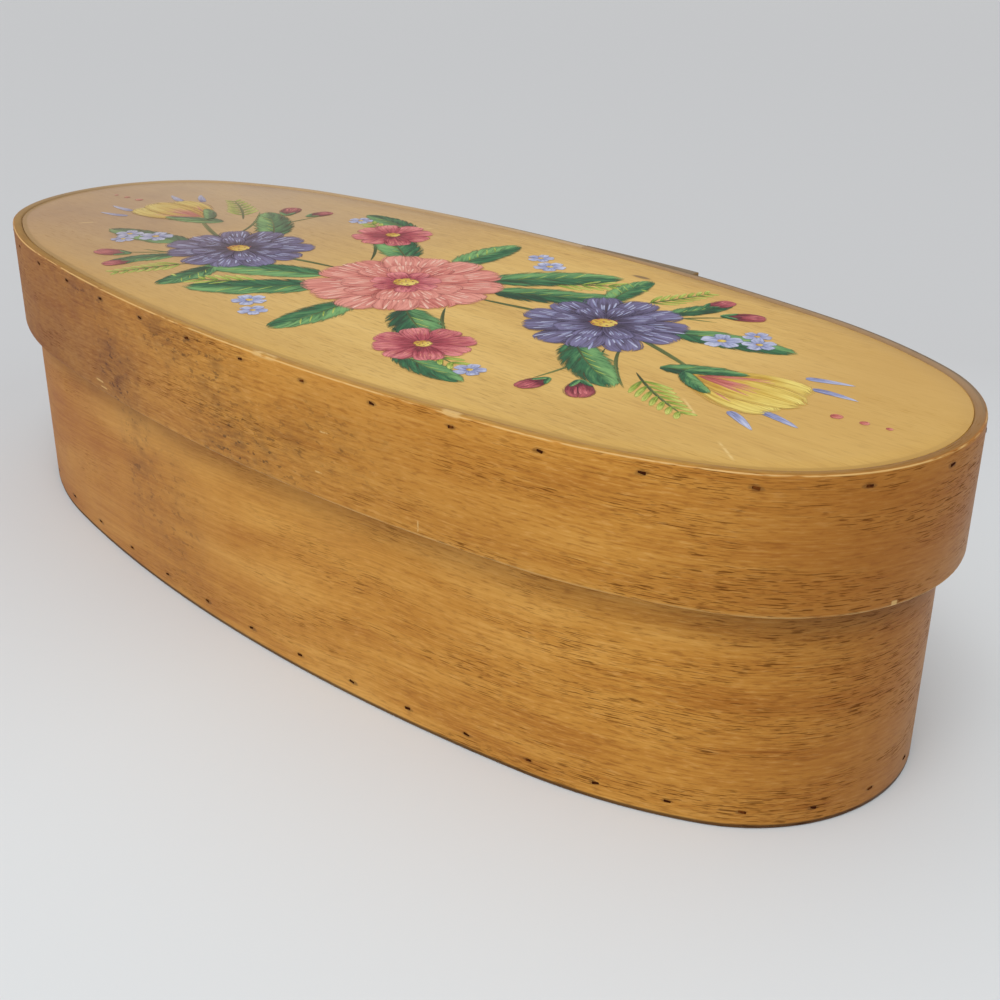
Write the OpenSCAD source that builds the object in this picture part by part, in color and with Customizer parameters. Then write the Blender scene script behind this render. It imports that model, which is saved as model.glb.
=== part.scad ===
// Oval bentwood box with a slip-over lid.
// Each wall is one thin strip of wood bent round an oval panel, lapped at the back
// and nailed through into the edge of the panel with small cut brads.

/* [Oval] */
// Outer length of the lid
lid_length = 406; // [340:1:470]
// Outer width of the lid
lid_width = 162.8; // [136:0.2:190]
// Radius of the shoulders, between the round ends and the long sides
shoulder_radius = 172.2; // [150:0.2:190]
// Direction, from the long axis, where an end gives way to a shoulder
end_angle = 61.93; // [58:0.01:66]
// Direction, from the long axis, where a shoulder gives way to a side
side_angle = 79.61; // [76:0.01:82]

/* [Bands] */
// Thickness of the bent strips
band_thickness = 3.4; // [2.4:0.1:4.4]
// Height of the closed box
box_height = 106.4; // [86:0.2:130]
// Depth of the lid, over its rim
lid_depth = 38.6; // [28:0.2:48]
// Wear on the corners of the strips
edge_wear = 0.6; // [0.2:0.1:0.9]

/* [Lid fit] */
// Gap between the lid and the body, all round
lid_clearance = 1.7; // [1.2:0.1:2.4]
// How far the lid sits towards one end, as it was put on
lid_offset = 1.2; // [0:0.1:1.2]

/* [Panels] */
// Thickness of the lid panel
lid_panel_thickness = 6.4; // [5:0.2:9]
// Depth of the lid panel's face below its rim
lid_panel_recess = 0.4; // [0.2:0.1:1.5]
// Thickness of the bottom panel
bottom_thickness = 8.4; // [7:0.2:12]
// Gap between a panel and the strip bent round it
panel_gap = 0.1; // [0.05:0.05:0.3]

/* [Laps] */
// Length over which the outer end of a strip rises off the inner one
lap_length = 51; // [40:1:65]
// Distance of the outer end of the laps from the middle of the box
lap_end = 61; // [50:1:75]
// How much the outer end of a strip is thinned where it laps
lap_skive = 0.5; // [0.4:0.1:0.8]
// Air between the lap of the body and the lid
lap_air = 0.5; // [0.4:0.1:0.8]
// Tacks in the lap of the body
body_tacks = 4; // [2:1:5]
// Tacks in the lap of the lid
lid_tacks = 2; // [2:1:3]

/* [Brads] */
// Brads round the bottom
bottom_brad_count = 38; // [24:1:48]
// Brads round the lid
lid_brad_count = 35; // [24:1:48]
// How much closer than the average the brads of the bottom are at one end
bottom_crowding = 0.2; // [0:0.05:0.4]
// Length of a brad
brad_length = 13; // [9:0.5:16]
// Thickness of a brad's shank
brad_shank = 0.9; // [0.6:0.1:1.2]
// Length of a brad's head, along the strip
brad_head_length = 2.4; // [1.6:0.1:3.2]
// Width of a brad's head
brad_head_width = 1; // [0.8:0.1:1.6]
// How far a brad's head stands off the wood
brad_stand = 0.15; // [0.1:0.05:0.4]

/* [Hidden] */
$fn = 96;
band_colour = [0.55, 0.31, 0.13];
panel_colour = [0.84, 0.72, 0.47];
bottom_colour = [0.70, 0.52, 0.30];
brad_colour = [0.16, 0.13, 0.11];
brad_head_depth = 0.8;
lap_root = 0.25;
lap_margin_angle = 1;
tack_inset = 6;
tack_cover = 0.8;
bottom_brad_phase = 0.6;
lid_brad_phase = 0.9;
panel_ring = 30;

// The body stands inside the lid, and the lid panel rests on the top edge of its band.
body_inset = band_thickness + lid_clearance;
body_height = box_height - lid_panel_recess - lid_panel_thickness;
lid_foot = box_height - lid_depth;
lid_panel_foot = body_height;
body_lap_rise = lid_clearance - lap_air;
lid_lap_rise = band_thickness - lap_skive;

// The oval of the lid's outside is drawn with three radii. The shoulder radius is
// given, and the other two follow from the length and the width.
along = lid_length / 2 - shoulder_radius * (cos(end_angle) - cos(side_angle));
across = lid_width / 2 - shoulder_radius * (sin(side_angle) - sin(end_angle));
end_depth = 1 - cos(end_angle);
side_depth = 1 - sin(side_angle);
det = sin(end_angle) * cos(side_angle) - side_depth * end_depth;
end_radius = (across * cos(side_angle) - along * side_depth) / det;
side_radius = (along * sin(end_angle) - across * end_depth) / det;
end_x = lid_length / 2 - end_radius;
shoulder_x = end_x - (shoulder_radius - end_radius) * cos(end_angle);
shoulder_y = (end_radius - shoulder_radius) * sin(end_angle);
side_y = lid_width / 2 - side_radius;

// The arcs of the oval in turn: centre, radius, starting direction and turn. The
// shoulders stand a hair proud and the arcs run a hair over each other, so that they
// meet in clean edges.
proud = 0.02;
overrun = 0.01;
proud_radius = shoulder_radius + proud;
end_turn = 2 * end_angle;
shoulder_turn = side_angle - end_angle;
side_turn = 180 - 2 * side_angle;
arcs = [
    [[end_x, 0], end_radius, -end_angle, end_turn],
    [[shoulder_x, shoulder_y], proud_radius, end_angle, shoulder_turn],
    [[0, side_y], side_radius, side_angle, side_turn],
    [[-shoulder_x, shoulder_y], proud_radius, 180 - side_angle, shoulder_turn],
    [[-end_x, 0], end_radius, 180 - end_angle, end_turn],
    [[-shoulder_x, -shoulder_y], proud_radius, 180 + end_angle, shoulder_turn],
    [[0, -side_y], side_radius, 180 + side_angle, side_turn],
    [[shoulder_x, -shoulder_y], proud_radius, 360 - side_angle, shoulder_turn],
];
back = arcs[2];

// Directions on the back, seen from its own centre, between which the laps lie.
lap_from = acos((lap_end - lap_length) / side_radius);
lap_to = acos(lap_end / side_radius);
tack_at = acos((lap_end - tack_inset) / side_radius);

function point_on(arc, share, inset) =
    let (direction = arc[2] + share * arc[3])
    arc[0] + (arc[1] - inset) * [cos(direction), sin(direction)];

function arc_length(arc, inset) = (arc[1] - inset) * arc[3] * PI / 180;

// Distance round the oval from its right-hand tip to the start of an arc.
function run_to(k, inset) =
    k == 0 ? -arc_length(arcs[0], inset) / 2 : run_to(k - 1, inset) + arc_length(arcs[k - 1], inset);

// A profile carried round the oval that lies the inset within the lid's outside.
module round_oval(inset) {
    for (arc = arcs)
        translate(arc[0])
            rotate_extrude(angle = arc[3] + 2 * overrun, start = arc[2] - overrun)
                translate([arc[1] - inset, 0])
                    children();
}

// Cross-section of a strip, with its worn corners, inwards from its outer face.
module strip_section(thickness, height) {
    polygon([
        [0, edge_wear],
        [0, height - edge_wear],
        [-edge_wear, height],
        [edge_wear - thickness, height],
        [-thickness, height - edge_wear],
        [-thickness, edge_wear],
        [edge_wear - thickness, 0],
        [-edge_wear, 0],
    ]);
}

// Whatever lies on a lap is swung outwards with it, about the line where it leaves
// the inner end of the strip.
module on_lap(inset, rise) {
    hinge = back[0] + (back[1] - inset) * [cos(lap_from), sin(lap_from)];
    translate(hinge)
        rotate(asin(rise / lap_length))
            translate(-hinge)
                translate(back[0])
                    children();
}

// A strip bent round the oval, with its outer end lapped over its inner end.
module band(inset, height, rise) {
    round_oval(inset)
        strip_section(band_thickness, height);
    on_lap(inset, rise)
        rotate_extrude(angle = lap_from - lap_to, start = lap_to)
            translate([back[1] - inset - rise - lap_root, 0])
                square([rise + lap_root, height]);
}

// A flat oval panel: a ring of arcs round a plain core.
module panel(inset, thickness) {
    round_oval(inset + panel_ring)
        square([panel_ring, thickness]);
    linear_extrude(thickness)
        polygon([for (arc = arcs, share = [0, 0.5]) point_on(arc, share, inset + panel_ring / 2)]);
}

// A cut brad that points inwards along -X, its head just off the face at X = 0.
module brad(length) {
    translate([-brad_head_depth, -brad_head_length / 2, -brad_head_width / 2])
        cube([brad_head_depth + brad_stand, brad_head_length, brad_head_width]);
    rotate([0, -90, 0])
        cylinder(d = brad_shank, h = length);
}

// Brads round a strip, closer together than the average at the right-hand end and
// wider apart at the left. The laps are left free: they have their own tacks.
module brad_row(inset, count, phase, crowding) {
    round = run_to(len(arcs), inset) - run_to(0, inset);
    for (k = [0 : len(arcs) - 1], i = [0 : count - 1]) {
        share = (i + phase) / count;
        run = round * (share - crowding * sin(360 * share) / (2 * PI));
        turned = (run > round + run_to(0, inset) ? run - round : run) - run_to(k, inset);
        direction = arcs[k][2] + arcs[k][3] * turned / arc_length(arcs[k], inset);
        on_arc = turned >= 0 && turned < arc_length(arcs[k], inset);
        past_end = direction > lap_to - lap_margin_angle;
        short_of_root = direction < lap_from + lap_margin_angle;
        under_lap = arcs[k] == back && past_end && short_of_root;
        if (on_arc && !under_lap)
            translate(arcs[k][0])
                rotate(direction)
                    translate([arcs[k][1] - inset, 0])
                        brad(brad_length);
    }
}

// A column of tacks near the outer end of a lap, short of the inside of the strip.
module lap_tacks(inset, height, rise, count) {
    for (i = [0 : count - 1])
        on_lap(inset, rise)
            rotate(tack_at)
                translate([back[1] - inset, 0, height * (i + 0.5) / count])
                    brad(rise + band_thickness - tack_cover);
}

module body_band() {
    color(band_colour)
        band(body_inset, body_height, body_lap_rise);
}

module body_lap_tacks() {
    color(brad_colour)
        lap_tacks(body_inset, body_height, body_lap_rise, body_tacks);
}

module bottom_panel() {
    color(bottom_colour)
        panel(body_inset + band_thickness + panel_gap, bottom_thickness);
}

module bottom_brads() {
    color(brad_colour)
        translate([0, 0, bottom_thickness / 2])
            brad_row(body_inset, bottom_brad_count, bottom_brad_phase, bottom_crowding);
}

module lid_band() {
    color(band_colour)
        translate([lid_offset, 0, lid_foot])
            band(0, lid_depth, lid_lap_rise);
}

module lid_lap_tacks() {
    color(brad_colour)
        translate([lid_offset, 0, lid_foot])
            lap_tacks(0, lid_depth, lid_lap_rise, lid_tacks);
}

module lid_panel() {
    color(panel_colour)
        translate([lid_offset, 0, lid_panel_foot])
            panel(band_thickness + panel_gap, lid_panel_thickness);
}

module lid_brads() {
    color(brad_colour)
        translate([lid_offset, 0, lid_panel_foot + lid_panel_thickness / 2])
            brad_row(0, lid_brad_count, lid_brad_phase, 0);
}

body_band();
body_lap_tacks();
bottom_panel();
bottom_brads();
lid_band();
lid_lap_tacks();
lid_panel();
lid_brads();
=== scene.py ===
import math
import random

import bmesh
import bpy
from mathutils import Matrix, Vector


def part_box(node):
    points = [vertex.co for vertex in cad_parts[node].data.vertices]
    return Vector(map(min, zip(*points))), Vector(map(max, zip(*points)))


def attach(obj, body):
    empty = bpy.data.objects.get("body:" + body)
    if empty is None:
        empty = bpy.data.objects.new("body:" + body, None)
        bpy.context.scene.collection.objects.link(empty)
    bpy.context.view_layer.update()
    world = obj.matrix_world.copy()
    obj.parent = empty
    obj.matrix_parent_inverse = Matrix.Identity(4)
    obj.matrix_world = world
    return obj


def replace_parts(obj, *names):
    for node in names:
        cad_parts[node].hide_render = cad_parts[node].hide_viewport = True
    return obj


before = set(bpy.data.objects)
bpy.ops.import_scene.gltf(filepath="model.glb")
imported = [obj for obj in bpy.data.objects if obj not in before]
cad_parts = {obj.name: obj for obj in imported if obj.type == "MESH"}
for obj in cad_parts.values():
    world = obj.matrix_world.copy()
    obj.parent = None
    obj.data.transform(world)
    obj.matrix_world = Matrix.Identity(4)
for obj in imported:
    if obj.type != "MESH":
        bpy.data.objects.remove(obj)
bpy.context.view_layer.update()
print("frame loaded, nodes:", len(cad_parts))


def picked(red, green, blue):  # 0 to 255, as a colour picker shows them
    def linear(value):
        share = value / 255
        return share / 12.92 if share <= 0.04045 else ((share + 0.055) / 1.055) ** 2.4
    return (linear(red), linear(green), linear(blue), 1.0)


class Wire:  # a shader socket that can stand in a sum
    def __init__(self, tree, socket=None):
        self.tree = tree
        self.socket = socket

    def node(self, kind, settings, inputs, output=0):  # any node: its settings first, then its sockets
        made = self.tree.nodes.new(kind)
        for key, value in settings.items():
            if key == "stops":
                stops = made.color_ramp.elements
                for place, colour in value[1:-1]:
                    stops.new(place).color = colour
                stops[0].position, stops[0].color = value[0]
                stops[-1].position, stops[-1].color = value[-1]
            else:
                setattr(made, key, value)
        for key, value in inputs.items():
            if isinstance(value, Wire):
                self.tree.links.new(value.socket, made.inputs[key])
            else:
                made.inputs[key].default_value = value
        return Wire(self.tree, made.outputs[output])

    def math(self, operation, other=0.0):
        return self.node("ShaderNodeMath", {"operation": operation}, {0: self, 1: other})

    def __add__(self, other):
        return self.math("ADD", other)

    def __sub__(self, other):
        return self.math("SUBTRACT", other)

    def __rsub__(self, other):
        return self.node("ShaderNodeMath", {"operation": "SUBTRACT"}, {0: other, 1: self})

    def __mul__(self, other):
        return self.math("MULTIPLY", other)

    __radd__ = __add__
    __rmul__ = __mul__

    def __abs__(self):
        return self.math("ABSOLUTE")

    def step(self, low, high):  # a soft step, falling where low is above high
        rising = low < high
        ends = {"Value": self, "From Min": min(low, high), "From Max": max(low, high)}
        ends.update({"To Min": 0.0 if rising else 1.0, "To Max": 1.0 if rising else 0.0})
        return self.node("ShaderNodeMapRange", {"interpolation_type": "SMOOTHSTEP"}, ends)

    def between(self, rise, fall):  # one where both soft steps are up
        return self.step(*rise) * self.step(*fall)

    def noise(self, scale, seed, detail=2.0, roughness=0.5):  # self is a vector
        place = {"Vector": self, "Scale": scale, "Location": (seed, seed * 1.7, 0.0)}
        moved = self.node("ShaderNodeMapping", {}, place)
        sockets = {"Vector": moved, "Scale": 1.0, "Detail": detail, "Roughness": roughness}
        return self.node("ShaderNodeTexNoise", {}, sockets)

    def blend(self, first, second):  # self is the share of the second colour
        return self.node("ShaderNodeMix", {"data_type": "RGBA"}, {0: self, 6: first, 7: second}, 2)

    def ramp(self, stops):
        return self.node("ShaderNodeValToRGB", {"stops": stops}, {"Fac": self})

    def vector(self, x, y, z=0.0):
        return self.node("ShaderNodeCombineXYZ", {}, {"X": x, "Y": y, "Z": z})

    def parts(self):
        split = self.node("ShaderNodeSeparateXYZ", {}, {"Vector": self}).socket.node
        return [Wire(self.tree, split.outputs[axis]) for axis in ("X", "Y", "Z")]

    def feed(self, shader, socket):
        self.tree.links.new(self.socket, shader.inputs[socket])


def newMaterial(name, constants):
    material = bpy.data.materials.new(name)
    material.use_nodes = True
    tree = material.node_tree
    tree.nodes.clear()
    shader = tree.nodes.new("ShaderNodeBsdfPrincipled")
    for socket, value in constants.items():
        shader.inputs[socket].default_value = value
    ending = tree.nodes.new("ShaderNodeOutputMaterial")
    tree.links.new(shader.outputs[0], ending.inputs["Surface"])
    return material, shader, Wire(tree)


def bump(wire, shader, strength, distance):
    relief = wire.node("ShaderNodeBump", {}, {"Strength": strength, "Distance": distance, "Height": wire})
    relief.feed(shader, "Normal")


# The oval: three radii a quarter, worked out from the lid's own box
ovalShape = {"shoulderRadius": 0.1722, "endAngle": 61.93, "sideAngle": 79.61}
lidLow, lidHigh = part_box("lid_band")
bodyLow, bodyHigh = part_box("body_band")
panelLow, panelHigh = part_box("lid_panel")
lidShift = Vector(((lidLow.x + lidHigh.x) / 2, 0.0, 0.0))
halfLength = (lidHigh.x - lidLow.x) / 2
halfWidth = -lidLow.y
bodyInset = halfLength - (bodyHigh.x - bodyLow.x) / 2
panelInset = halfLength - (panelHigh.x - panelLow.x) / 2
stripThickness = 0.0034
noShift = Vector((0, 0, 0))
weld = 1e-6  # vertices closer than this are one
faceStep = {"strip": 0.0035, "panel": 0.004}  # length of a face round the oval
sharpAngle = math.radians(40)


def ovalArcs():
    endAngle = math.radians(ovalShape["endAngle"])
    sideAngle = math.radians(ovalShape["sideAngle"])
    shoulder = ovalShape["shoulderRadius"]
    along = halfLength - shoulder * (math.cos(endAngle) - math.cos(sideAngle))
    across = halfWidth - shoulder * (math.sin(sideAngle) - math.sin(endAngle))
    endDepth = 1 - math.cos(endAngle)
    sideDepth = 1 - math.sin(sideAngle)
    scale = math.sin(endAngle) * math.cos(sideAngle) - sideDepth * endDepth
    end = (across * math.cos(sideAngle) - along * sideDepth) / scale
    side = (along * math.sin(endAngle) - across * endDepth) / scale
    endX = halfLength - end
    shoulderX = endX - (shoulder - end) * math.cos(endAngle)
    shoulderY = (end - shoulder) * math.sin(endAngle)
    sideY = halfWidth - side
    turn = sideAngle - endAngle
    halfTurn = math.pi
    return [  # centre, radius, starting direction, turn
        (Vector((endX, 0, 0)), end, -endAngle, 2 * endAngle),
        (Vector((shoulderX, shoulderY, 0)), shoulder, endAngle, turn),
        (Vector((0, sideY, 0)), side, sideAngle, halfTurn - 2 * sideAngle),
        (Vector((-shoulderX, shoulderY, 0)), shoulder, halfTurn - sideAngle, turn),
        (Vector((-endX, 0, 0)), end, halfTurn - endAngle, 2 * endAngle),
        (Vector((-shoulderX, -shoulderY, 0)), shoulder, halfTurn + endAngle, turn),
        (Vector((0, -sideY, 0)), side, halfTurn + sideAngle, halfTurn - 2 * sideAngle),
        (Vector((shoulderX, -shoulderY, 0)), shoulder, 2 * halfTurn - sideAngle, turn),
    ]


arcs = ovalArcs()
lapPlace = {
    "hingeX": 0.010,  # where a lap leaves the strip
    "endX": 0.061,  # its square end
    "margin": math.radians(1.0),  # no brads this close to it
    "root": 0.0003,  # its layer starts just under the face of the strip
    "shy": 0.00012,  # and its edges lie just inside those of the strip
    "topSide": 0.0009,  # its top takes the colour of the ring
}
backCentre, backRadius, backStart, backTurn = arcs[2]
hingeAngle = math.acos(lapPlace["hingeX"] / backRadius)
lapEndAngle = math.acos(lapPlace["endX"] / backRadius)


def away(heading, reach):
    return Vector((math.cos(heading), math.sin(heading), 0)) * reach


def hingeRun(inset):  # way round the oval from its right-hand tip to the hinge of the lap
    tip = (arcs[0][1] - inset) * arcs[0][3] / 2
    shoulder = (arcs[1][1] - inset) * arcs[1][3]
    return tip + shoulder + (backRadius - inset) * (hingeAngle - backStart)


def perimeter(inset):
    return sum((arc[1] - inset) * arc[3] for arc in arcs)


def bradSpan(inset):  # the part of a strip that has brads, with soft ends
    radius = backRadius - inset
    margin = lapPlace["margin"]
    soft = 0.0005
    first = hingeRun(inset) + radius * margin
    last = hingeRun(inset) + perimeter(inset) - radius * (hingeAngle - lapEndAngle + margin)
    return (first - soft, first + soft), (last + soft, last - soft)


def arcsFromHinge():  # once round, from the hinge and back to it
    whole = [(backCentre, backRadius, hingeAngle, backStart + backTurn - hingeAngle)]
    whole += arcs[3:] + arcs[:2]
    whole.append((backCentre, backRadius, backStart, hingeAngle - backStart))
    return whole


def finishPiece(bm, name, body, material, smooth=True):
    bmesh.ops.recalc_face_normals(bm, faces=bm.faces)
    mesh = bpy.data.meshes.new(name)
    bm.to_mesh(mesh)
    bm.free()
    for face in mesh.polygons:
        face.use_smooth = smooth
    mesh.set_sharp_from_angle(angle=sharpAngle)
    piece = bpy.data.objects.new(name, mesh)
    bpy.context.scene.collection.objects.link(piece)
    piece.data.materials.append(material)
    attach(piece, body)
    return piece


def stripSide(depth, height, tall, thickness, middle):  # way round the section: up the face, over, down
    distances = {
        "outer": middle[0],
        "inner": thickness - middle[0],
        "foot": middle[1],
        "top": tall - middle[1],
    }
    nearest = min(distances, key=distances.get)
    if nearest == "inner":
        return tall + depth + (tall - height)
    if nearest == "foot":
        return height - depth
    return height + depth


def bendStrip(bm, route, run, inset, low, high, thickness, corner):
    # a section of the strip is spun round one arc of the route after another
    uv = bm.loops.layers.uv.get("strip") or bm.loops.layers.uv.new("strip")
    tall = high - low
    centre, radius, start, _ = route[0]
    corners = []
    for depth, z in ((0, low), (0, high), (thickness, high), (thickness, low)):
        corners.append(bm.verts.new(centre + away(start, radius - inset - depth) + Vector((0, 0, z))))
    bm.faces.new(corners)
    rounding = {"offset": corner, "offset_type": "OFFSET", "segments": 3, "profile": 0.5, "material": -1}
    bmesh.ops.bevel(bm, geom=corners, affect="VERTICES", **rounding)
    section = [face for face in bm.faces if not face.tag][-1]
    edges = list(section.edges)
    bmesh.ops.delete(bm, geom=[section], context="FACES_ONLY")
    for centre, radius, start, turn in route:
        outer = radius - inset
        count = max(2, round(outer * turn / faceStep["strip"]))
        for _ in range(count):
            spun = bmesh.ops.spin(bm, geom=edges, cent=centre, axis=(0, 0, 1), angle=turn / count, steps=1)
            last = spun["geom_last"]
            edges = [part for part in last if isinstance(part, bmesh.types.BMEdge)]
            newVerts = {part for part in last if isinstance(part, bmesh.types.BMVert)}
            nextRun = run + outer * turn / count
            for edge in edges:
                face = edge.link_faces[0]
                face.tag = True
                mid = face.calc_center_median()
                middle = (outer - (mid - centre).xy.length, mid.z - low)
                for loop in face.loops:
                    depth = outer - (loop.vert.co - centre).xy.length
                    side = stripSide(depth, loop.vert.co.z - low, tall, thickness, middle)
                    loop[uv].uv = (nextRun if loop.vert in newVerts else run, side)
            run = nextRun


def bentBand(name, body, material, inset, low, look, shift):
    bm = bmesh.new()
    start = hingeRun(inset)
    high = low + look["tall"]
    bendStrip(bm, arcsFromHinge(), start, inset, low, high, stripThickness, look["corner"])
    bmesh.ops.remove_doubles(bm, verts=bm.verts, dist=weld)
    whole = set(bm.verts)
    root = lapPlace["root"]
    shy = lapPlace["shy"]
    sweep = hingeAngle - lapEndAngle
    route = [(backCentre, backRadius, lapEndAngle, sweep)]
    lapRun = start - (backRadius - inset) * sweep
    bendStrip(bm, route, lapRun, inset, low + shy, high - shy, root, root / 4)
    lap = [vert for vert in bm.verts if vert not in whole]
    for vert in lap:
        spoke = (vert.co - backCentre).xy.to_3d()
        depth = backRadius - inset - spoke.length
        risen = (hingeAngle - math.atan2(spoke.y, spoke.x)) / sweep
        if depth < root / 2:
            vert.co += spoke.normalized() * look["lapRise"] * risen
    bmesh.ops.holes_fill(bm, edges=[edge for edge in bm.edges if edge.is_boundary])
    uv = bm.loops.layers.uv["strip"]
    for face in {face for vert in lap for face in vert.link_faces}:
        if face.calc_center_median().z > high - 2 * shy:
            for loop in face.loops:
                loop[uv].uv.y = look["tall"] + lapPlace["topSide"]
    bmesh.ops.translate(bm, verts=bm.verts, vec=shift)
    return finishPiece(bm, name, body, material)


bandLook = {
    "light": picked(221, 165, 80),
    "middle": picked(200, 140, 56),
    "deep": picked(172, 108, 34),
    "fibre": picked(140, 82, 24),
    "fleck": picked(228, 174, 98),
    "pore": picked(84, 40, 2),
    "warm": picked(140, 78, 20),
    "grime": picked(92, 54, 30),
    "smudge": picked(88, 50, 22),
    "ring": picked(180, 136, 60),
    "ringDirt": picked(146, 104, 46),
    "tan": picked(178, 156, 124),
    "greyed": picked(104, 88, 64),
    "worn": picked(222, 184, 118),
    "raw": picked(202, 166, 112),
    "stain": picked(44, 24, 12),
    # stretches of a strip, in metres round the oval from its right-hand tip
    "front": ((0.48, 0.58), (1.02, 0.96)),
    "leftRing": ((0.44, 0.50), (0.74, 0.58)),
    "rightRing": (0.88, 0.97),
    "cleanTop": ((0.24, 0.32), (1.03, 0.97)),
    "rubbedAndHighlit": (0.66, 0.82),
}


def bandWood(name, look):
    finish = {"Coat Roughness": 0.3, "Specular IOR Level": 0.1}
    material, shader, start = newMaterial(name, finish)
    run, side, _ = start.node("ShaderNodeUVMap", {"uv_map": "strip"}, {}).parts()
    tall = look["tall"]
    seed = look["seed"]
    flat = start.vector(run, side)

    def near(place, height, reach, rise):  # one at a place on the strip, fading out round it
        return abs(run - place).step(reach, 0.0) * abs(side - height).step(rise, 0.0)

    sway = start.vector(run, 0.0).noise((2.6, 1.0, 1.0), seed + 3, 1) - 0.5
    waver = flat.noise((9.0, 22.0, 1.0), seed + 4, 2) - 0.5
    climb = (look["level"] - run).math("MAXIMUM", 0.0) * look["climb"]
    grain = start.vector(run, side + climb + sway * look["sway"] + waver * 0.004)
    # colour of the wood: broad figure, streaks and short flecks
    streak = grain.noise((7.0, 130.0, 1.0), seed, 4, 0.62)
    figure = grain.noise((13.0, 55.0, 1.0), seed + 11, 4, 0.6)
    fleck = grain.noise((190.0, 1000.0, 1.0), seed + 5, 2, 0.6)
    thread = grain.noise((24.0, 1500.0, 1.0), seed + 13, 3, 0.6)
    tone = (streak * 0.35 + figure * 0.65 - 0.5) * look["figure"] + (thread - 0.5) * 0.35 + 0.5
    colour = tone.ramp([(0.34, bandLook["deep"]), (0.5, bandLook["middle"]), (0.68, bandLook["light"])])
    coarse = 1 - run.between(*look["smooth"]) * look["smoothness"]
    colour = (fleck.step(0.5, 0.72) * coarse * 0.5).blend(colour, bandLook["fibre"])
    colour = (fleck.step(0.47, 0.28) * coarse * 0.4).blend(colour, bandLook["fleck"])
    # the right-hand end is redder and darker: wood tone with painted shade
    warm = run.between(*look["warm"])
    colour = (warm * look["warmth"]).blend(colour, bandLook["warm"])
    # pores: short dark dashes that crowd together
    speck = grain.noise((290.0, 2700.0, 1.0), seed + 7, 1.0, 0.4)
    dash = grain.noise((150.0, 2500.0, 1.0), seed + 17, 1.0, 0.4)
    crowd = grain.noise((16.0, 75.0, 1.0), seed + 9, 3, 0.65) - run.between(*look["smooth"]) * 0.08 + 0.02
    pores = speck.step(0.57, 0.66) * crowd.step(0.42, 0.62) * 0.6
    pores = pores + dash.step(0.59, 0.66) * crowd.step(0.44, 0.60)
    pores = pores.math("MINIMUM", 1.0) * (0.25 + coarse * 0.75)
    colour = (crowd.step(0.48, 0.66) * 0.12).blend(colour, bandLook["deep"])
    colour = (pores * 0.74).blend(colour, bandLook["pore"])
    # patches of painted light and shade: lighter just under the lid's edge, deeper lower down and at the
    # right-hand end
    for place, height, reach, rise, amount, shade in look["veils"]:  # broad lighter and deeper places
        colour = (near(place, height, reach, rise) * amount).blend(colour, bandLook[shade])
    # dirt where hands have been, a dull film with a painted sheen at one end, and dirt with painted shade
    # under the lid's edge
    patch = flat.noise((70.0, 90.0, 1.0), seed + 21, 5, 0.65)
    scuff = flat.noise((150.0, 330.0, 1.0), seed + 23, 4, 0.7)
    grit = flat.noise((230.0, 420.0, 1.0), seed + 27, 3, 0.6).step(0.58, 0.65)
    rough = (patch * 0.5 + scuff * 0.5).step(0.42, 0.62)
    for place, height, reach, rise, amount in look["smudges"]:
        dirt = near(place, height, reach, rise)
        colour = (dirt * (0.15 + rough * 0.7) * amount).blend(colour, bandLook["smudge"])
        colour = (dirt * grit * amount).blend(colour, bandLook["stain"])
    # the left-hand end hazier and greyer: a dull film with a painted sheen
    film = run.between(*look["haze"])
    colour = (film * (0.3 + patch * 0.5)).blend(colour, look["film"])
    # a darker band just under the lid's edge: dirt and painted shade, stronger towards the right-hand end
    if "covered" in look:
        grime = patch * 0.3 + warm * 0.4 + 0.08
        colour = (side.between(*look["grime"]) * grime).blend(colour, bandLook["grime"])
        colour = (side.step(*look["covered"]) * 0.3).blend(colour, bandLook["light"])
    # dark stain round each brad
    share = (run * (1 / look["round"])).math("FRACT") * (2 * math.pi)
    pull = look["crowding"]
    share = share + share.math("SINE") * pull + (share * 2).math("SINE") * (pull * pull / 2)
    place = share * (look["count"] / (2 * math.pi)) - look["phase"] + 0.5
    along = abs(place.math("FRACT") - 0.5) * (look["round"] / look["count"])
    upright = abs(side - look["row"])
    spread = (along * along * 0.3 + upright * upright * 2.0).math("SQRT")
    stain = (spread + (scuff - 0.5) * 0.003).step(0.0014, 0.0006)
    colour = (stain * run.between(*look["rowSpan"]) * 0.45).blend(colour, bandLook["stain"])
    # edges: the brown top, pale corners, worn and with a painted highlight, and a painted contact shadow at
    # the foot
    chip = flat.noise((60.0, 300.0, 1.0), seed + 31, 3, 0.7)
    ring = (chip.step(0.4, 0.7) * 0.6).blend(bandLook["ring"], bandLook["ringDirt"])
    behind = 1 - run.between(*bandLook["front"])
    # the ring darker towards the right-hand end too: dirt and painted shade
    ring = (warm * 0.5).blend(ring, bandLook["ringDirt"])
    ring = (behind * 0.9).blend(ring, bandLook["tan"])
    ring = (run.between(*bandLook["leftRing"]) * 0.35).blend(ring, bandLook["greyed"])
    # the ring darker still at the right-hand end: painted shade with dirt
    ring = (run.step(*bandLook["rightRing"]) * 0.4).blend(ring, bandLook["grime"])
    colour = (side.step(tall + 0.0003, tall + 0.0009) * 0.85).blend(colour, ring)
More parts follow.
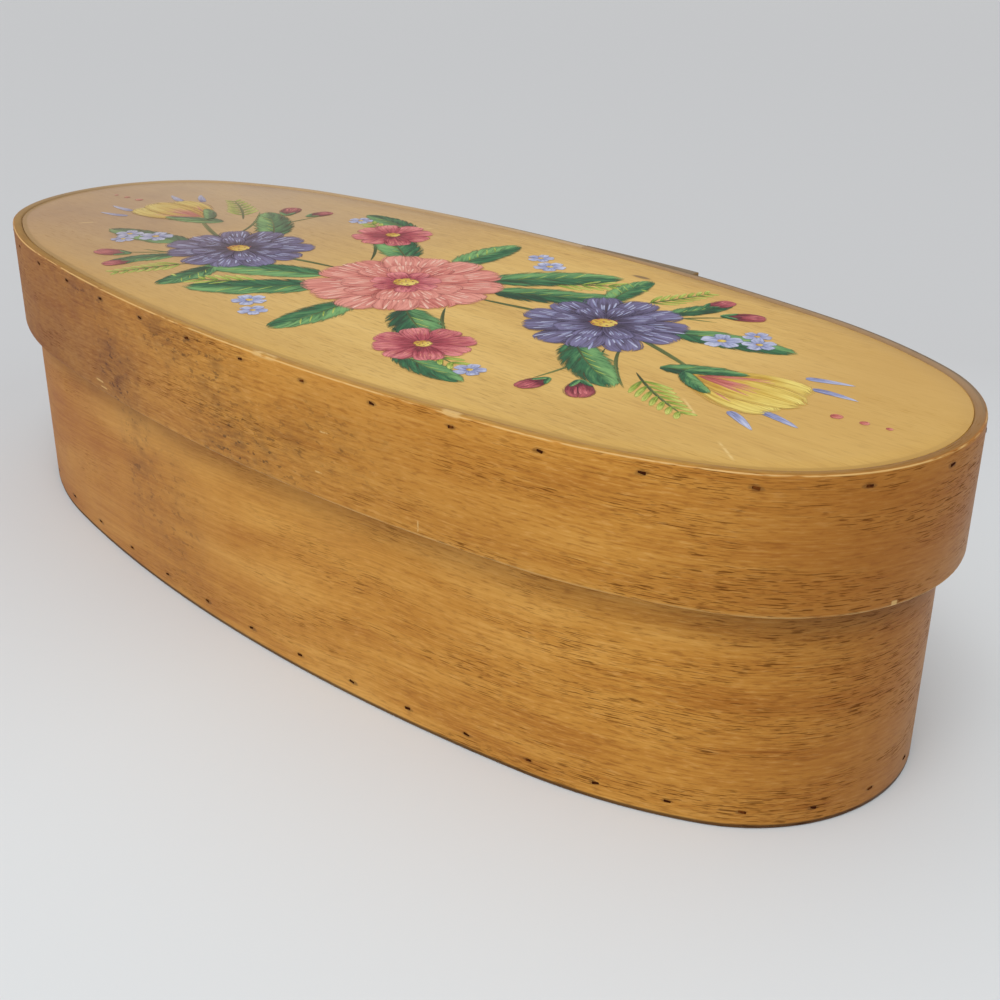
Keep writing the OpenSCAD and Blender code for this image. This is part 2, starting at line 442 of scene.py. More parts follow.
    # a pale line along the top corner: wear with a painted highlight
    edge = abs(side - tall).step(0.00045, 0.00015) * chip.step(0.36, 0.5) * (1 - behind * 0.7)
    soot = side.between((tall - 0.0008, tall), (tall + 0.0018, tall + 0.0012))
    soot = (1 - run.between(*bandLook["cleanTop"])) * soot
    colour = (soot * look["soot"]).blend(colour, bandLook["greyed"])
    for spot, reach in look["chips"]:
        bite = abs(run - spot).step(reach, reach * 0.5) * abs(side - tall - 0.0007).step(0.0018, 0.0010)
        edge = edge + bite * chip.step(0.44, 0.5)
    for spot, height, reach, rise in look["nicks"]:
        nick = abs(run - spot).step(reach, reach * 0.5) * abs(side - height).step(rise, rise * 0.6)
        edge = edge + nick * scuff.step(0.46, 0.52)
    colour = (edge.math("MINIMUM", 1.0) * look["wear"]).blend(colour, bandLook["worn"])
    # a pale line along the foot, towards the right: wear with a painted highlight
    foot = side.step(*look["foot"])
    rubbedAndHighlit = look["footWear"] * run.step(*bandLook["rubbedAndHighlit"])
    colour = (foot * rubbedAndHighlit * chip.step(0.36, 0.58)).blend(colour, bandLook["worn"])
    # a painted contact shadow along the foot, in the stain colour
    colour = (foot * look["footDark"]).blend(colour, bandLook["stain"])
    inside = side.step(tall + stripThickness + 0.0002, tall + stripThickness + 0.0008)
    raw = (streak.step(0.3, 0.75) * 0.35).blend(bandLook["raw"], bandLook["middle"])
    raw = (pores * 0.45).blend(raw, bandLook["fibre"])
    colour = inside.blend(colour, raw)
    colour.feed(shader, "Base Color")
    (0.42 + pores * 0.25 + fleck * 0.08 + inside * 0.25 + film * 0.15).feed(shader, "Roughness")
    ((1 - inside) * (1 - film) * (1 - pores) * 0.16).feed(shader, "Coat Weight")
    bump(1.0 - pores * 0.8 + fleck * 0.25, shader, 0.22, 0.0003)
    return material


# Strips: the body's and the lid's. Patches of painted light and shade, smudges and nicks have a place round
# the oval and a height on the strip, then their reach along it and up it, and their strength. Chips are on
# the top edge.
bodyBandShape = {
    "tall": bodyHigh.z - bodyLow.z,
    "corner": 0.0006,
    "lapRise": 0.0012,
    "tacks": 4,
    "figure": 1.0,
    "sway": 0.03,
    "climb": 0.10,
    "level": 0.76,  # the grain climbs up to here
    "smoothness": 0.72,
    "warmth": 0.58,
    "seed": 4.0,
    "smooth": ((0.30, 0.44), (0.86, 0.62)),
    "warm": ((0.845, 0.93), (1.10, 1.0)),
    "haze": ((0.34, 0.48), (0.72, 0.50)),
    "film": picked(158, 99, 68),
    "veils": [(0.655, 0.060, 0.070, 0.020, 0.4, "light"), (0.741, 0.056, 0.045, 0.026, 0.3, "light"),
              (0.670, 0.028, 0.080, 0.028, 0.3, "deep"), (0.790, 0.045, 0.050, 0.030, 0.2, "deep")],
    "smudges": [(0.638, 0.046, 0.018, 0.050, 0.5), (0.662, 0.030, 0.026, 0.045, 0.35)],
    "chips": [],
    "nicks": [],
    "grime": ((0.054, 0.067), (0.0725, 0.0675)),  # just under the lid's edge
    "covered": (0.068, 0.072),  # kept light inside the lid
    "soot": 0.0,
    "wear": 0.2,
    "foot": (0.0017, 0.0010),
    "footWear": 0.0,
    "footDark": 0.8,
    "rowSpan": bradSpan(bodyInset),
    "round": perimeter(bodyInset),
    "count": 38,
    "phase": 0.6,
    "crowding": 0.2,
    "row": 0.0054,
}
lidBandShape = {
    "tall": lidHigh.z - lidLow.z,
    "corner": 0.0009,
    "lapRise": 0.0029,
    "tacks": 2,
    "figure": 0.7,
    "sway": 0.02,
    "climb": 0.02,
    "level": 0.76,
    "smoothness": 0.1,
    "warmth": 0.62,
    "seed": 19.0,
    "smooth": ((0.30, 0.44), (0.90, 0.66)),
    "warm": ((0.86, 0.94), (1.12, 1.02)),
    "haze": ((0.36, 0.50), (0.74, 0.60)),
    "film": picked(110, 63, 60),
    "veils": [(0.800, 0.030, 0.090, 0.050, 0.3, "deep")],
    "smudges": [(0.696, 0.032, 0.030, 0.016, 0.6), (0.722, 0.028, 0.026, 0.018, 0.5),
                (0.661, 0.010, 0.022, 0.026, 0.85), (0.736, 0.006, 0.044, 0.022, 0.7),
                (0.640, 0.034, 0.040, 0.012, 0.5), (0.775, 0.020, 0.04, 0.02, 0.35)],
    "chips": [(0.748, 0.006), (0.819, 0.004)],
    "nicks": [(0.6470, 0.0040, 0.0036, 0.0004), (0.6500, 0.0022, 0.0030, 0.0003),
              (0.8080, 0.0025, 0.0003, 0.0026), (0.7700, 0.0085, 0.0018, 0.0003),
              (0.7730, 0.0215, 0.0020, 0.0003), (perimeter(0.0) - 0.018, 0.0010, 0.0012, 0.0010)],
    "soot": 0.8,
    "wear": 0.75,
    "foot": (0.0011, 0.0005),
    "footWear": 0.5,
    "footDark": 0.0,
    "rowSpan": bradSpan(0.0),
    "round": perimeter(0.0),
    "count": 35,
    "phase": 0.9,
    "crowding": 0.0,
    "row": lidHigh.z - lidLow.z - 0.0036,
}
bandPlace = {  # inset, foot, settings and shift of the strip on each body
    "box": (bodyInset, bodyLow.z, bodyBandShape, noShift),
    "lid": (0.0, lidLow.z, lidBandShape, lidShift),
}
bodyWood = bandWood("bodyBandWood", bodyBandShape)
lidWood = bandWood("lidBandWood", lidBandShape)
bodyBand = bentBand("bodyBand", "box", bodyWood, *bandPlace["box"])
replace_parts(bodyBand, "body_band")
lidBand = bentBand("lidBand", "lid", lidWood, *bandPlace["lid"])
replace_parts(lidBand, "lid_band")
print("strips bent:", len(bodyBand.data.polygons), len(lidBand.data.polygons))

# Panels
panelLook = {
    "pale": picked(226, 188, 108),
    "middle": picked(212, 171, 88),
    "warm": picked(196, 152, 72),
    "line": picked(140, 98, 42),
    "haze": picked(158, 122, 96),
    "mist": picked(174, 148, 124),
    "dirt": picked(138, 104, 60),
    "corner": picked(178, 138, 66),
    "knot": picked(92, 62, 28),
    "scratch": picked(238, 208, 140),
    "bareDeep": picked(192, 156, 100),
    "bare": picked(212, 180, 124),
    "barePale": picked(224, 198, 150),
    "edgeWidth": 0.007,
    "edgeRound": 0.0004,
    "hazeFrom": (0.03, -0.16),
    "mistFrom": (-0.05, 0.05),
    "warmFrom": (0.10, 0.17),
    "nearFrom": ((-0.04, -0.075), (0.11, 0.0)),
    "cornerFrom": (0.03, -0.03),
    "knotPlace": (0.052, 0.0632),
    "scratches": [(0.1401, -0.0247, -38, 0.008), (0.1646, -0.0422, -36, 0.007), (-0.052, 0.0560, 24, 0.006),
                  (-0.1480, -0.0330, 61, 0.004)],
}


def panelWood(name, seed, varnished):
    finish = {"Coat Roughness": 0.32, "Specular IOR Level": 0.3, "Coat Weight": 0.12 if varnished else 0.0}
    material, shader, start = newMaterial(name, finish)
    place = start.node("ShaderNodeTexCoord", {}, {}, "Object")
    x, y, z = place.parts()
    waver = place.noise((7.0, 14.0, 1.0), seed + 3, 2) - 0.5
    grain = start.vector(x, y + waver * 0.006)
    streak = grain.noise((7.0, 140.0, 1.0), seed, 5, 0.6)
    broad = grain.noise((6.0, 18.0, 1.0), seed + 11, 3)
    line = grain.noise((120.0, 1100.0, 1.0), seed + 5, 3, 0.6)
    dash = grain.noise((190.0, 1500.0, 1.0), seed + 7, 1.5, 0.4)
    crowd = grain.noise((10.0, 40.0, 1.0), seed + 9, 3, 0.6)
    tone = streak * 0.4 + broad * 0.6
    colour = tone.ramp([(0.34, panelLook["warm"]), (0.5, panelLook["middle"]), (0.68, panelLook["pale"])])
    marks = dash.step(0.58, 0.68) * crowd.step(0.4, 0.62)
    colour = (line.step(0.5, 0.72) * 0.34).blend(colour, panelLook["line"])
    colour = (line.step(0.46, 0.3) * 0.4).blend(colour, panelLook["pale"])
    colour = (marks * 0.3).blend(colour, panelLook["line"])
    if varnished:
        rim = start.node("ShaderNodeAttribute", {"attribute_name": "rim"}, {}, "Fac")
        grime = place.noise((22.0, 30.0, 1.0), seed + 21, 4, 0.6)
        colour = (rim.step(0.35, 1.0) * grime.step(0.3, 0.65) * 0.3).blend(colour, panelLook["dirt"])
        # the left-hand end hazier and greyer, mistier at the back: a dull film with a painted sheen
        film = x.step(*panelLook["hazeFrom"])
        back = y.step(*panelLook["mistFrom"])
        haze = back.blend(panelLook["haze"], panelLook["mist"])
        colour = (film * (0.52 + grime * 0.5)).blend(colour, haze)
        colour = (x.step(*panelLook["warmFrom"]) * (0.3 + back * 0.55)).blend(colour, panelLook["warm"])
        near = y.step(*panelLook["nearFrom"][0]) * x.step(*panelLook["nearFrom"][1])
        colour = (near * 0.45).blend(colour, panelLook["warm"])
        colour = (film * grime.step(0.52, 0.70) * 0.15).blend(colour, panelLook["dirt"])
        knotX, knotY = panelLook["knotPlace"]
        bow = x - knotX
        drop = y - knotY + (streak - 0.5) * 0.003
        swirl = (bow * bow * 0.09 + drop * drop).math("SQRT")
        colour = (swirl.step(0.0042, 0.0014) * 0.35).blend(colour, panelLook["warm"])
        colour = (swirl.step(0.0015, 0.0007) * 0.75).blend(colour, panelLook["knot"])
        for scratchX, scratchY, heading, half in panelLook["scratches"]:
            turnX = math.cos(math.radians(heading))
            turnY = math.sin(math.radians(heading))
            along = (x - scratchX) * turnX + (y - scratchY) * turnY
            across = (y - scratchY) * turnX - (x - scratchX) * turnY + along * along * 3.0
            mark = abs(along).step(half, half * 0.5) * abs(across).step(0.0006, 0.0001)
            colour = (mark * line.step(0.35, 0.5) * 0.55).blend(colour, panelLook["scratch"])
        # a darker strip along the front edge of the panel, by the ring: painted shade in the corner, with
        # dirt
        corner = rim.step(0.74, 0.86) * y.step(*panelLook["cornerFrom"])
        shade = (film * 0.6).blend(panelLook["corner"], panelLook["dirt"])
        colour = (corner * 0.8).blend(colour, shade)
        under = z.step(panelHigh.z - 0.002, panelLow.z + 0.002)
        bareStops = [(0.34, panelLook["bareDeep"]), (0.5, panelLook["bare"]), (0.68, panelLook["barePale"])]
        bare = (line.step(0.5, 0.72) * 0.3 + marks * 0.3).blend(tone.ramp(bareStops), panelLook["line"])
        colour = under.blend(colour, bare)
    colour.feed(shader, "Base Color")
    (0.42 + marks * 0.15 + line * 0.1).feed(shader, "Roughness")
    bump(1.0 - marks * 0.5 + line * 0.3, shader, 0.14, 0.0002)
    return material


def ovalPanel(name, body, inset, low, high, material, shift):
    bm = bmesh.new()
    rimLayer = bm.verts.layers.float.new("rim")
    centre, radius, start, _ = arcs[0]
    tips = [bm.verts.new(centre + away(start, radius - inset))]
    for centre, radius, start, turn in arcs:
        count = max(2, round((radius - inset) * turn / faceStep["panel"]))
        spun = bmesh.ops.spin(bm, geom=tips, cent=centre, axis=(0, 0, 1), angle=turn, steps=count)
        tips = [part for part in spun["geom_last"] if isinstance(part, bmesh.types.BMVert)]
    bmesh.ops.remove_doubles(bm, verts=bm.verts, dist=weld)
    top = bmesh.ops.contextual_create(bm, geom=bm.edges[:])["faces"][0]
    bmesh.ops.translate(bm, verts=bm.verts, vec=Vector((shift.x, shift.y, high)))
    for vert in bm.verts:
        vert[rimLayer] = 1.0
    under = bmesh.ops.extrude_face_region(bm, geom=[top])["geom"]
    bmesh.ops.translate(bm, verts=[part for part in under if isinstance(part, bmesh.types.BMVert)],
                        vec=Vector((0, 0, low - high)))
    bmesh.ops.recalc_face_normals(bm, faces=bm.faces)
    top = max(bm.faces, key=lambda face: face.calc_center_median().z)
    rounding = {"offset": panelLook["edgeRound"], "offset_type": "OFFSET", "segments": 2}
    bmesh.ops.bevel(bm, geom=list(top.edges), affect="EDGES", profile=0.5, material=-1, **rounding)
    top = max(bm.faces, key=lambda face: (face.calc_center_median().z, face.calc_area()))
    bmesh.ops.inset_region(bm, faces=[top], thickness=panelLook["edgeWidth"], use_even_offset=True)
    for vert in top.verts:
        vert[rimLayer] = 0.0
    return finishPiece(bm, name, body, material, smooth=False)


lidPanelWood = panelWood("lidPanelWood", 2.0, True)
lidPanel = ovalPanel("lidPanel", "lid", panelInset, panelLow.z, panelHigh.z, lidPanelWood, lidShift)
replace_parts(lidPanel, "lid_panel")
bottomWood = panelWood("bottomPanelWood", 33.0, False)
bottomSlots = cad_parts["bottom_panel"].data.materials
bottomSlots.clear()
bottomSlots.append(bottomWood)
print("panels cut")

# Brads and tacks: cut from sheet, so no two heads are alike
bradShape = {
    "length": 0.0024,
    "width": 0.0010,
    "depth": 0.0008,
    "stand": 0.00013,
    "corner": 0.00022,
    "reach": 0.0120,
    "tackReach": 0.0030,
    "tackInset": 0.006,  # from the square end of the lap
    "lengths": (0.84, 1.0),  # shares of the length and the width
    "widths": (0.86, 1.0),
    "pinch": (0.45, 0.95),
    "slant": (0.85, 1.0),
    "twist": (-14, 14),
    "dark": picked(56, 22, 4),
    "rust": picked(118, 64, 20),
}
bradChance = random.Random(23)


def bradIron():
    material, shader, start = newMaterial("bradIron", {"Specular IOR Level": 0.05})
    place = start.node("ShaderNodeTexCoord", {}, {}, "Object")
    age = start.node("ShaderNodeAttribute", {"attribute_name": "age"}, {}, "Fac")
    pitting = place.noise((900.0, 900.0, 900.0), 5.0, 5, 0.7)
    rust = (pitting + (age - 0.5) * 0.3).step(0.48, 0.68)
    (rust * 0.8).blend(bradShape["dark"], bradShape["rust"]).feed(shader, "Base Color")
    (0.6 + pitting * 0.3).feed(shader, "Roughness")
    bump(pitting, shader, 0.3, 0.0002)
    return material


def brad(bm, spot, heading, reach):  # head outwards along its heading, point inwards
    ageLayer = bm.verts.layers.float.get("age") or bm.verts.layers.float.new("age")
    before = set(bm.verts)
    deep = bradShape["depth"] + bradShape["stand"]
    long = bradShape["length"] * bradChance.uniform(*bradShape["lengths"])
    wide = bradShape["width"] * bradChance.uniform(*bradShape["widths"])
    head = bmesh.ops.create_cube(bm, size=1.0)["verts"]
    bmesh.ops.scale(bm, verts=head, vec=(deep, long, wide))
    pinched = bradChance.choice((-1, 1))
    for vert in head:  # one end is cut narrower than the other
        if vert.co.y * pinched > 0:
            vert.co.z *= bradChance.uniform(*bradShape["pinch"])
        vert.co.y *= bradChance.uniform(*bradShape["slant"])
    edges = {edge for vert in head for edge in vert.link_edges}
    rounding = {"offset": bradShape["corner"], "segments": 2, "clamp_overlap": True}
    bmesh.ops.bevel(bm, geom=list(edges), affect="EDGES", profile=0.5, material=-1, **rounding)
    made = [vert for vert in bm.verts if vert not in before]
    faces = {face for vert in made for face in vert.link_faces}
    inner = min(faces, key=lambda face: face.calc_center_median().x)
    point = bmesh.ops.extrude_discrete_faces(bm, faces=[inner])["faces"][0]
    bmesh.ops.translate(bm, verts=point.verts, vec=(-reach, 0, 0))
    tip = Matrix.Translation(point.calc_center_median())
    bmesh.ops.scale(bm, verts=point.verts, vec=(1.0, 0.3, 0.6), space=tip.inverted())
    made = [vert for vert in bm.verts if vert not in before]
    age = bradChance.random()
    for vert in made:
        vert[ageLayer] = age
        vert.co.x -= (bradShape["depth"] - bradShape["stand"]) / 2
    twist = Matrix.Rotation(math.radians(bradChance.uniform(*bradShape["twist"])), 4, "X")
    turned = Matrix.Translation(spot) @ Matrix.Rotation(heading, 4, "Z") @ twist
    bmesh.ops.transform(bm, matrix=turned, verts=made)


def bradRow(bm, inset, low, look, shift):
    whole = look["round"]
    for index in range(look["count"]):
        share = (index + look["phase"]) / look["count"]
        run = whole * (share - look["crowding"] * math.sin(2 * math.pi * share) / (2 * math.pi))
        first = -(arcs[0][1] - inset) * arcs[0][3] / 2
        run = run - whole if run > whole + first else run
        for centre, radius, start, turn in arcs:
            reach = (radius - inset) * turn
            if first <= run < first + reach:
                heading = start + (run - first) / (radius - inset)
                margin = lapPlace["margin"]
                onLap = centre == backCentre and lapEndAngle - margin < heading < hingeAngle + margin
                if not onLap:
                    out = away(heading, radius - inset)
                    height = Vector((0, 0, low + look["row"]))
                    brad(bm, centre + out + shift + height, heading, bradShape["reach"])
            first += reach


def lapTacks(bm, inset, low, look, shift):  # on the lap, turned out with it
    hinge = backCentre + away(hingeAngle, backRadius - inset)
    swing = math.asin(look["lapRise"] / (lapPlace["endX"] - lapPlace["hingeX"]))
    tackAngle = math.acos((lapPlace["endX"] - bradShape["tackInset"]) / backRadius)
    spot = backCentre + away(tackAngle, backRadius - inset)
    spot = hinge + Matrix.Rotation(swing, 3, "Z") @ (spot - hinge) + shift
    for index in range(look["tacks"]):
        height = Vector((0, 0, low + look["tall"] * (index + 0.5) / look["tacks"]))
        brad(bm, spot + height, tackAngle + swing, bradShape["tackReach"])


iron = bradIron()
bradGroups = {
    "bottomBrads": (bradRow, "box", "bottom_brads"),
    "lidBrads": (bradRow, "lid", "lid_brads"),
    "bodyTacks": (lapTacks, "box", "body_lap_tacks"),
    "lidTacks": (lapTacks, "lid", "lid_lap_tacks"),
}
for name, (drive, body, node) in bradGroups.items():
    bm = bmesh.new()
    drive(bm, *bandPlace[body])
    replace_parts(finishPiece(bm, name, body, iron), node)

# Painted spray on the lid: flowers and leaves, the same again when turned half way round
paintLook = {  # deep, plain and lit colour of each paint, and bristle marks across half a stroke
    "stem": ((50, 60, 32), (80, 94, 46), (124, 132, 70), 2.0),
    "fern": ((22, 62, 40), (44, 106, 66), (124, 172, 104), 0.0),
    "moss": ((84, 112, 34), (146, 168, 58), (208, 210, 112), 3.0),
    "coral": ((146, 58, 56), (194, 100, 90), (226, 152, 136), 7.0),
    "blush": ((214, 136, 118), (230, 172, 152), (242, 204, 186), 2.0),
    "rose": ((116, 32, 46), (172, 66, 80), (226, 138, 138), 6.0),
    "violet": ((42, 32, 48), (74, 62, 90), (122, 116, 154), 7.0),
    "iris": ((112, 116, 160), (150, 156, 194), (196, 200, 222), 2.0),
    "gold": ((176, 114, 36), (208, 168, 60), (234, 214, 116), 8.0),
    "wine": ((66, 18, 32), (120, 34, 52), (190, 96, 100), 4.0),
}
paintShape = {
    "base": 0.00003,  # height of the first layer
    "layer": 0.000012,
    "dome": 0.00004,
    "alongFaces": 12,
    "acrossFaces": 4,
    "paintedSheen": (-0.02, -0.17),  # greyer towards one end of the lid
}
paints = {}
for family in paintLook:
    paints[family] = bmesh.new()
    paints[family].loops.layers.uv.new("stroke")
    paints[family].verts.layers.float.new("tone")
chance = random.Random(11)


def stroke(family, place, heading, length, width, belly=0.5, bend=0.0, level=0.0):
    bm = paints[family]
    uv = bm.loops.layers.uv["stroke"]
    toneLayer = bm.verts.layers.float["tone"]
    tone = chance.random()
    peak = belly ** belly * (1 - belly) ** (1 - belly)
    turned = Matrix.Rotation(heading, 3, "Z")
    spots = {}
    faces = {"x_segments": paintShape["alongFaces"], "y_segments": paintShape["acrossFaces"]}
    for vert in bmesh.ops.create_grid(bm, size=0.5, **faces)["verts"]:
        along = vert.co.x + 0.5
        across = vert.co.y * 2
        spots[vert] = (along, across)
        inner = min(max(along, 0.004), 0.996)
        fullness = inner ** belly * (1 - inner) ** (1 - belly) / peak
        half = width / 2 * fullness * across
        lift = paintShape["base"] + level * paintShape["layer"]
        lift += paintShape["dome"] * (1 - across * across) * fullness
        flat = Vector((along * length - 2 * bend * along * half, bend * length * along * along + half, 0))
        vert.co = place + turned @ flat + Vector((0, 0, lift))
        vert[toneLayer] = tone
    for vert, spot in spots.items():
        for loop in vert.link_loops:
            loop[uv].uv = spot


def leaf(place, heading, length, width, bend, level):
    stroke("fern", place, heading, length, width, 0.42, bend, level)
    stroke("stem", place, heading, length * 0.92, width * 0.07, 0.3, bend, level + 1)
    for share in (0.2, 0.34, 0.48, 0.62):  # dry marks along one half
        middle = place + away(heading + bend * share, length * share)
        lean = chance.uniform(0.45, 0.6)
        size = width * chance.uniform(0.38, 0.5)
        stroke("moss", middle, heading + lean, size, width * 0.05, 0.35, 0.1, level + 1)


def flower(families, place, radius, petals, width, level, start):
    shaded, lit = families
    for index in range(petals):
        heading = start + 2 * math.pi * index / petals + chance.uniform(-0.05, 0.05)
        reach = radius * chance.uniform(0.94, 1.05)
        root = place + away(heading, radius * 0.1)
        petalLevel = level + index % 2 * 1.5
        stroke(shaded, root, heading, reach * 0.9, width, 0.68, chance.uniform(-0.06, 0.06), petalLevel)
        for lean in (-0.3, -0.16, 0.0, 0.13, 0.28):
            turn = heading + (lean + chance.uniform(-0.04, 0.04)) * width / radius
            mark = place + away(turn, radius * chance.uniform(0.42, 0.66))
            size = reach * chance.uniform(0.2, 0.36)
            stroke(lit, mark, turn, size, width * 0.065, 0.6, 0.0, petalLevel + 1)


def heart(place, radius, level):
    stroke("gold", place - Vector((radius, 0, 0)), 0.0, radius * 2, radius * 2, 0.5, 0.0, level)
    for index in range(13):
        spot = place + away(index * 2.4, radius * 0.3 * index ** 0.5) - Vector((radius * 0.12, 0, 0))
        stroke("wine", spot, 0.0, radius * 0.24, radius * 0.24, 0.5, 0.0, level + 1)


def bud(place, heading, length, width, level):
    stroke("wine", place, heading, length, width, 0.55, 0.0, level)
    for lean in (-0.2, 0.0, 0.2):
        mark = place + away(heading + lean, length * 0.3)
        stroke("rose", mark, heading + lean * 0.6, length * 0.5, width * 0.14, 0.55, 0.1, level + 1)
    for lean in (-0.5, 0.5):
        root = place - away(heading, length * 0.12)
        stroke("fern", root, heading + lean, length * 0.5, width * 0.26, 0.4, 0.1, level + 2)


def tulip(place, heading, length, level):
    for lean in (-0.42, 0.42, 0.0):
        reach = length * (1 - abs(lean) * 0.15)
        stroke("gold", place, heading + lean, reach, length * 0.5, 0.6, -lean * 0.4, level)
        for streak in (-0.2, -0.12, -0.04, 0.04, 0.12, 0.2):
            root = place + away(heading + lean, length * 0.05)
            size = length * chance.uniform(0.4, 0.62)
            stroke("coral", root, heading + lean + streak, size, length * 0.032, 0.4, -lean * 0.3, level + 2)
        level += 3
    for lean in (-0.8, 0.8):
        root = place - away(heading, length * 0.08)
        stroke("fern", root, heading + lean, length * 0.5, length * 0.16, 0.4, -lean * 0.3, level)


def frond(place, heading, length, bend, level):  # a feathery spray of short blades
    stroke("stem", place, heading, length, length * 0.035, 0.4, bend, level)
    for index in range(7):
        share = 0.2 + index * 0.12
        root = place + away(heading + bend * share, length * share)
        for side in (-1, 1):
            turn = heading + 2 * bend * share + side * 0.75
            size = length * (0.36 - share * 0.22)
            stroke("moss", root, turn, size, length * 0.06, 0.5, -side * 0.12, level + 1)


def blossoms(spots, level):  # little five-petalled flowers
    for place, radius in spots:
        for index in range(5):
            heading = 2 * math.pi * index / 5 + radius * 900
            stroke("iris", place, heading, radius, radius * 0.85, 0.66, 0.0, level + index % 2)
        size = radius * 0.44
        stroke("gold", place - Vector((radius * 0.22, 0, 0)), 0.0, size, size, 0.5, 0.0, level + 3)


def paintSpray(centre, turn):  # one half of the garland, turned about the middle
    def spot(x, y):
        return centre + Matrix.Rotation(turn, 3, "Z") @ Vector((x, y, 0))

    def way(degrees):
        return math.radians(degrees) + turn

    for x, y, heading, length, width, bend in (
        (0.026, 0.004, 8, 0.058, 0.0022, 0.08), (0.080, 0.014, -14, 0.050, 0.0020, -0.12),
        (0.060, 0.016, 42, 0.046, 0.0014, -0.2), (0.030, -0.010, -52, 0.036, 0.0014, 0.2),
        (0.092, 0.006, -68, 0.040, 0.0013, 0.3), (0.086, 0.030, 58, 0.022, 0.0012, -0.15),
        (0.084, 0.034, 74, 0.018, 0.0012, 0.1), (0.092, -0.004, -62, 0.032, 0.0012, 0.1),
        (0.094, -0.012, -80, 0.026, 0.0012, -0.15), (0.118, -0.002, -12, 0.010, 0.0018, 0.0),
    ):
        stroke("stem", spot(x, y), way(heading), length, width, 0.5, bend, 0)
    for x, y, heading, length, bend in (
        (0.030, 0.030, 44, 0.038, -0.12), (0.112, -0.014, -38, 0.034, 0.15), (0.070, 0.036, 66, 0.030, 0.1),
        (0.034, -0.036, -20, 0.040, 0.1),
    ):
        frond(spot(x, y), way(heading), length, bend, 0)
    for x, y, heading, length, width, bend in (
        (0.018, 0.022, 56, 0.046, 0.019, -0.12), (0.027, 0.014, 26, 0.046, 0.017, 0.1),
        (0.022, -0.020, -34, 0.044, 0.018, 0.12), (0.004, -0.028, -78, 0.036, 0.016, -0.1),
        (0.082, -0.006, -42, 0.040, 0.016, 0.15), (0.096, 0.022, 20, 0.040, 0.015, -0.1),
        (0.114, -0.006, 34, 0.030, 0.011, -0.2), (0.062, 0.034, 112, 0.028, 0.012, -0.2),
        (0.052, -0.050, -16, 0.032, 0.012, 0.15), (0.084, 0.036, 64, 0.024, 0.010, 0.1),
    ):
        leaf(spot(x, y), way(heading), length, width, bend, 2)
    flower(("violet", "iris"), spot(0.076, 0.014), 0.027, 11, 0.0140, 6, turn)
    flower(("violet", "iris"), spot(0.076, 0.014), 0.017, 8, 0.0100, 10, turn + 0.3)
    heart(spot(0.076, 0.014), 0.0044, 15)
    tulip(spot(0.124, -0.004), way(2), 0.036, 5)
    flower(("rose", "coral"), spot(0.052, -0.040), 0.016, 8, 0.0110, 6, turn + 0.2)
    heart(spot(0.052, -0.040), 0.0030, 12)
    for x, y, heading, length in (
        (0.098, 0.047, 30, 0.013), (0.088, 0.051, 75, 0.011), (0.106, -0.031, -50, 0.013),
        (0.098, -0.036, -95, 0.011),
    ):
        bud(spot(x, y), way(heading), length, length * 0.72, 6)
    blossoms([(spot(0.112, 0.026), 0.0066), (spot(0.122, 0.031), 0.0054), (spot(0.117, 0.037), 0.0046),
              (spot(0.020, 0.050), 0.0060), (spot(0.010, 0.056), 0.0050), (spot(0.078, -0.046), 0.0050)], 5)
    for x, y, size in ((0.168, -0.003, 0.0036), (0.176, -0.002, 0.0028), (0.183, -0.001, 0.0020)):
        stroke("coral", spot(x, y), way(0), size, size, 0.5, 0.0, 3)
    for x, y, heading in ((0.148, 0.016, 24), (0.154, 0.010, 8), (0.148, -0.020, -24), (0.154, -0.014, -8)):
        stroke("iris", spot(x, y), way(heading), 0.014, 0.0034, 0.25, -0.1, 3)


lidCentre = Vector((lidShift.x, 0, panelHigh.z))
paintSpray(lidCentre, 0.0)
paintSpray(lidCentre, math.pi)
flower(("coral", "blush"), lidCentre, 0.034, 13, 0.0175, 8, 0.1)
flower(("coral", "blush"), lidCentre, 0.022, 9, 0.0135, 13, 0.35)
flower(("rose", "coral"), lidCentre, 0.0125, 7, 0.0085, 18, 0.1)
heart(lidCentre, 0.0046, 22)


